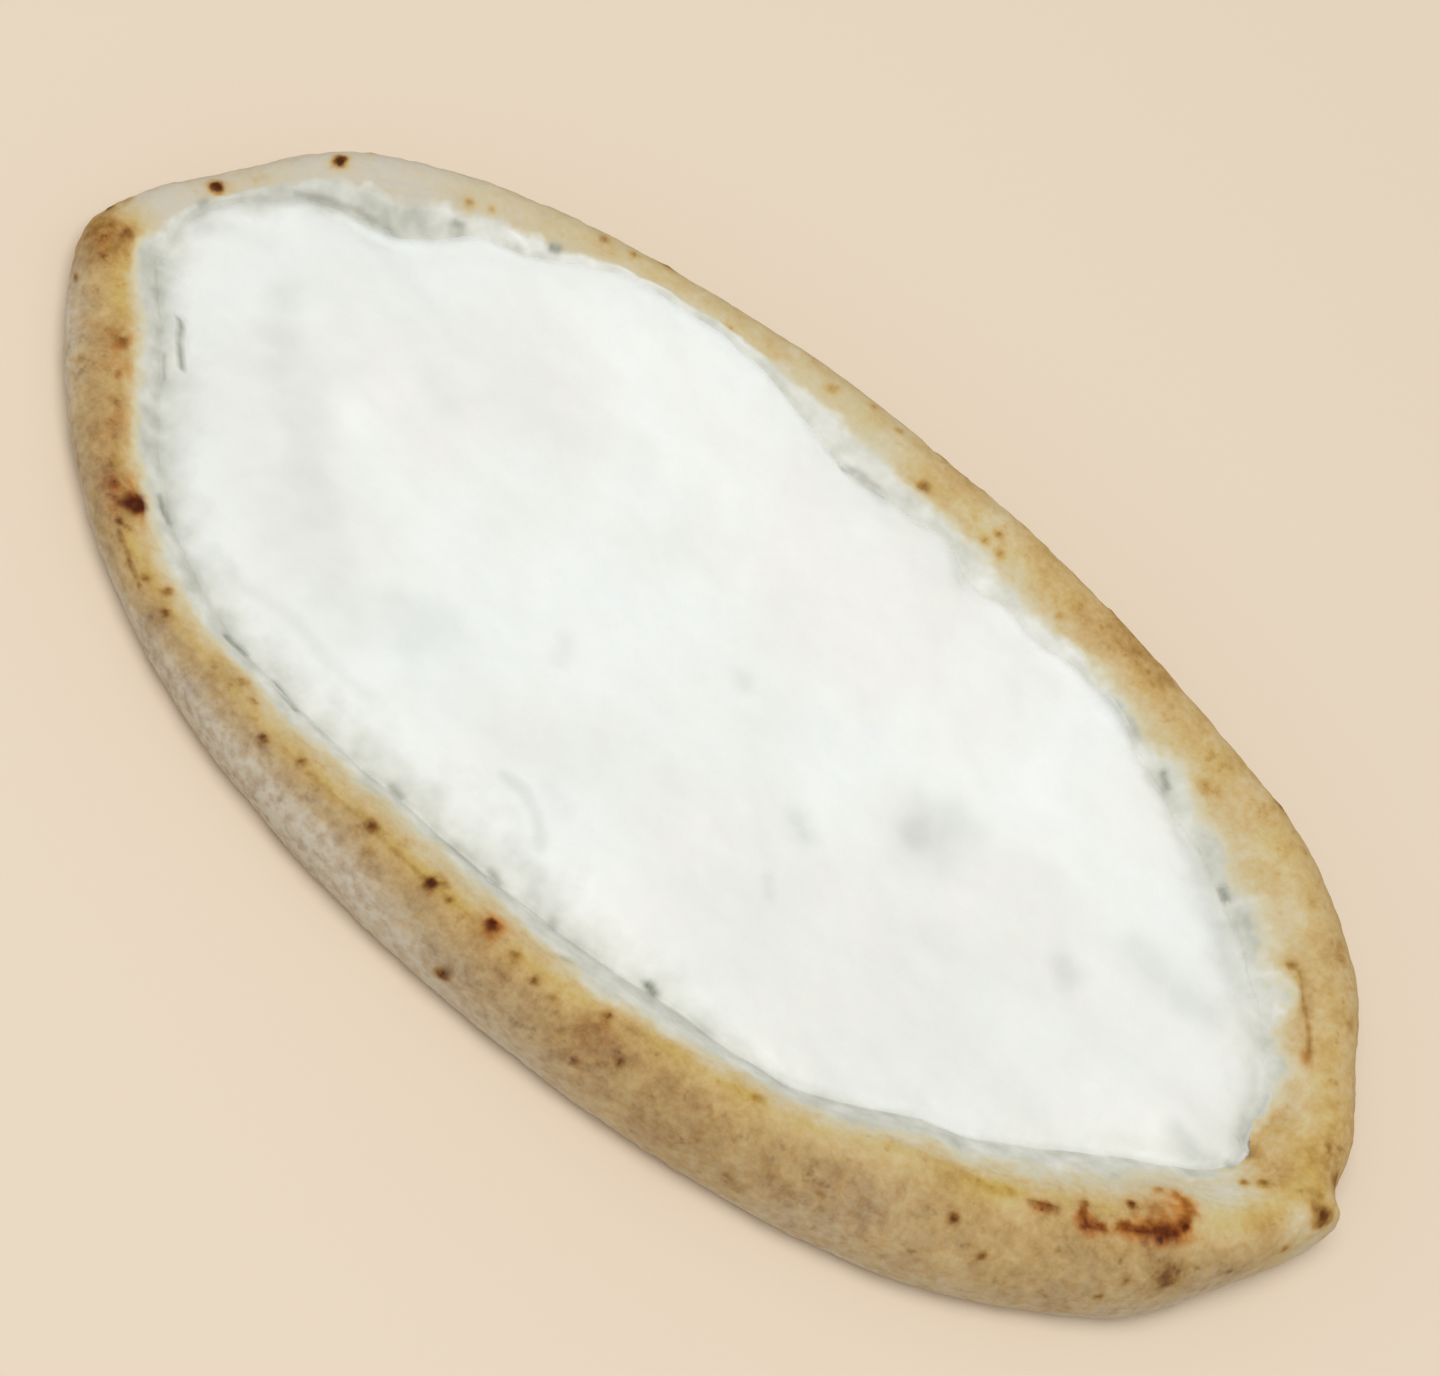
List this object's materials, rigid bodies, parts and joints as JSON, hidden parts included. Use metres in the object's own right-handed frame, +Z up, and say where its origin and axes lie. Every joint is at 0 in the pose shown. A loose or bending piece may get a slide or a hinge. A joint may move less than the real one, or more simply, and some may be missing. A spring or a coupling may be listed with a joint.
{
  "type": "turkish pide",
  "caption": "Boat-shaped flatbread with a rolled rim and pinched ends, filled nearly to the rim with soft white cheese.",
  "frame": {"origin": "middle of the flat underside", "axes": "+Z up from the underside, +X along the boat towards the end with the small dark nib, +Y across it towards the lower, paler rim"},
  "size_m": [0.3198, 0.1624, 0.0227],
  "materials": {
    "crust": "baked dough, golden to grey-beige with brown spots, dull",
    "filling": "soft white cheese, smooth and slightly moist"
  },
  "bodies": {
    "root": {"crust": "crust", "filling": "filling"}
  },
  "joints": []
}
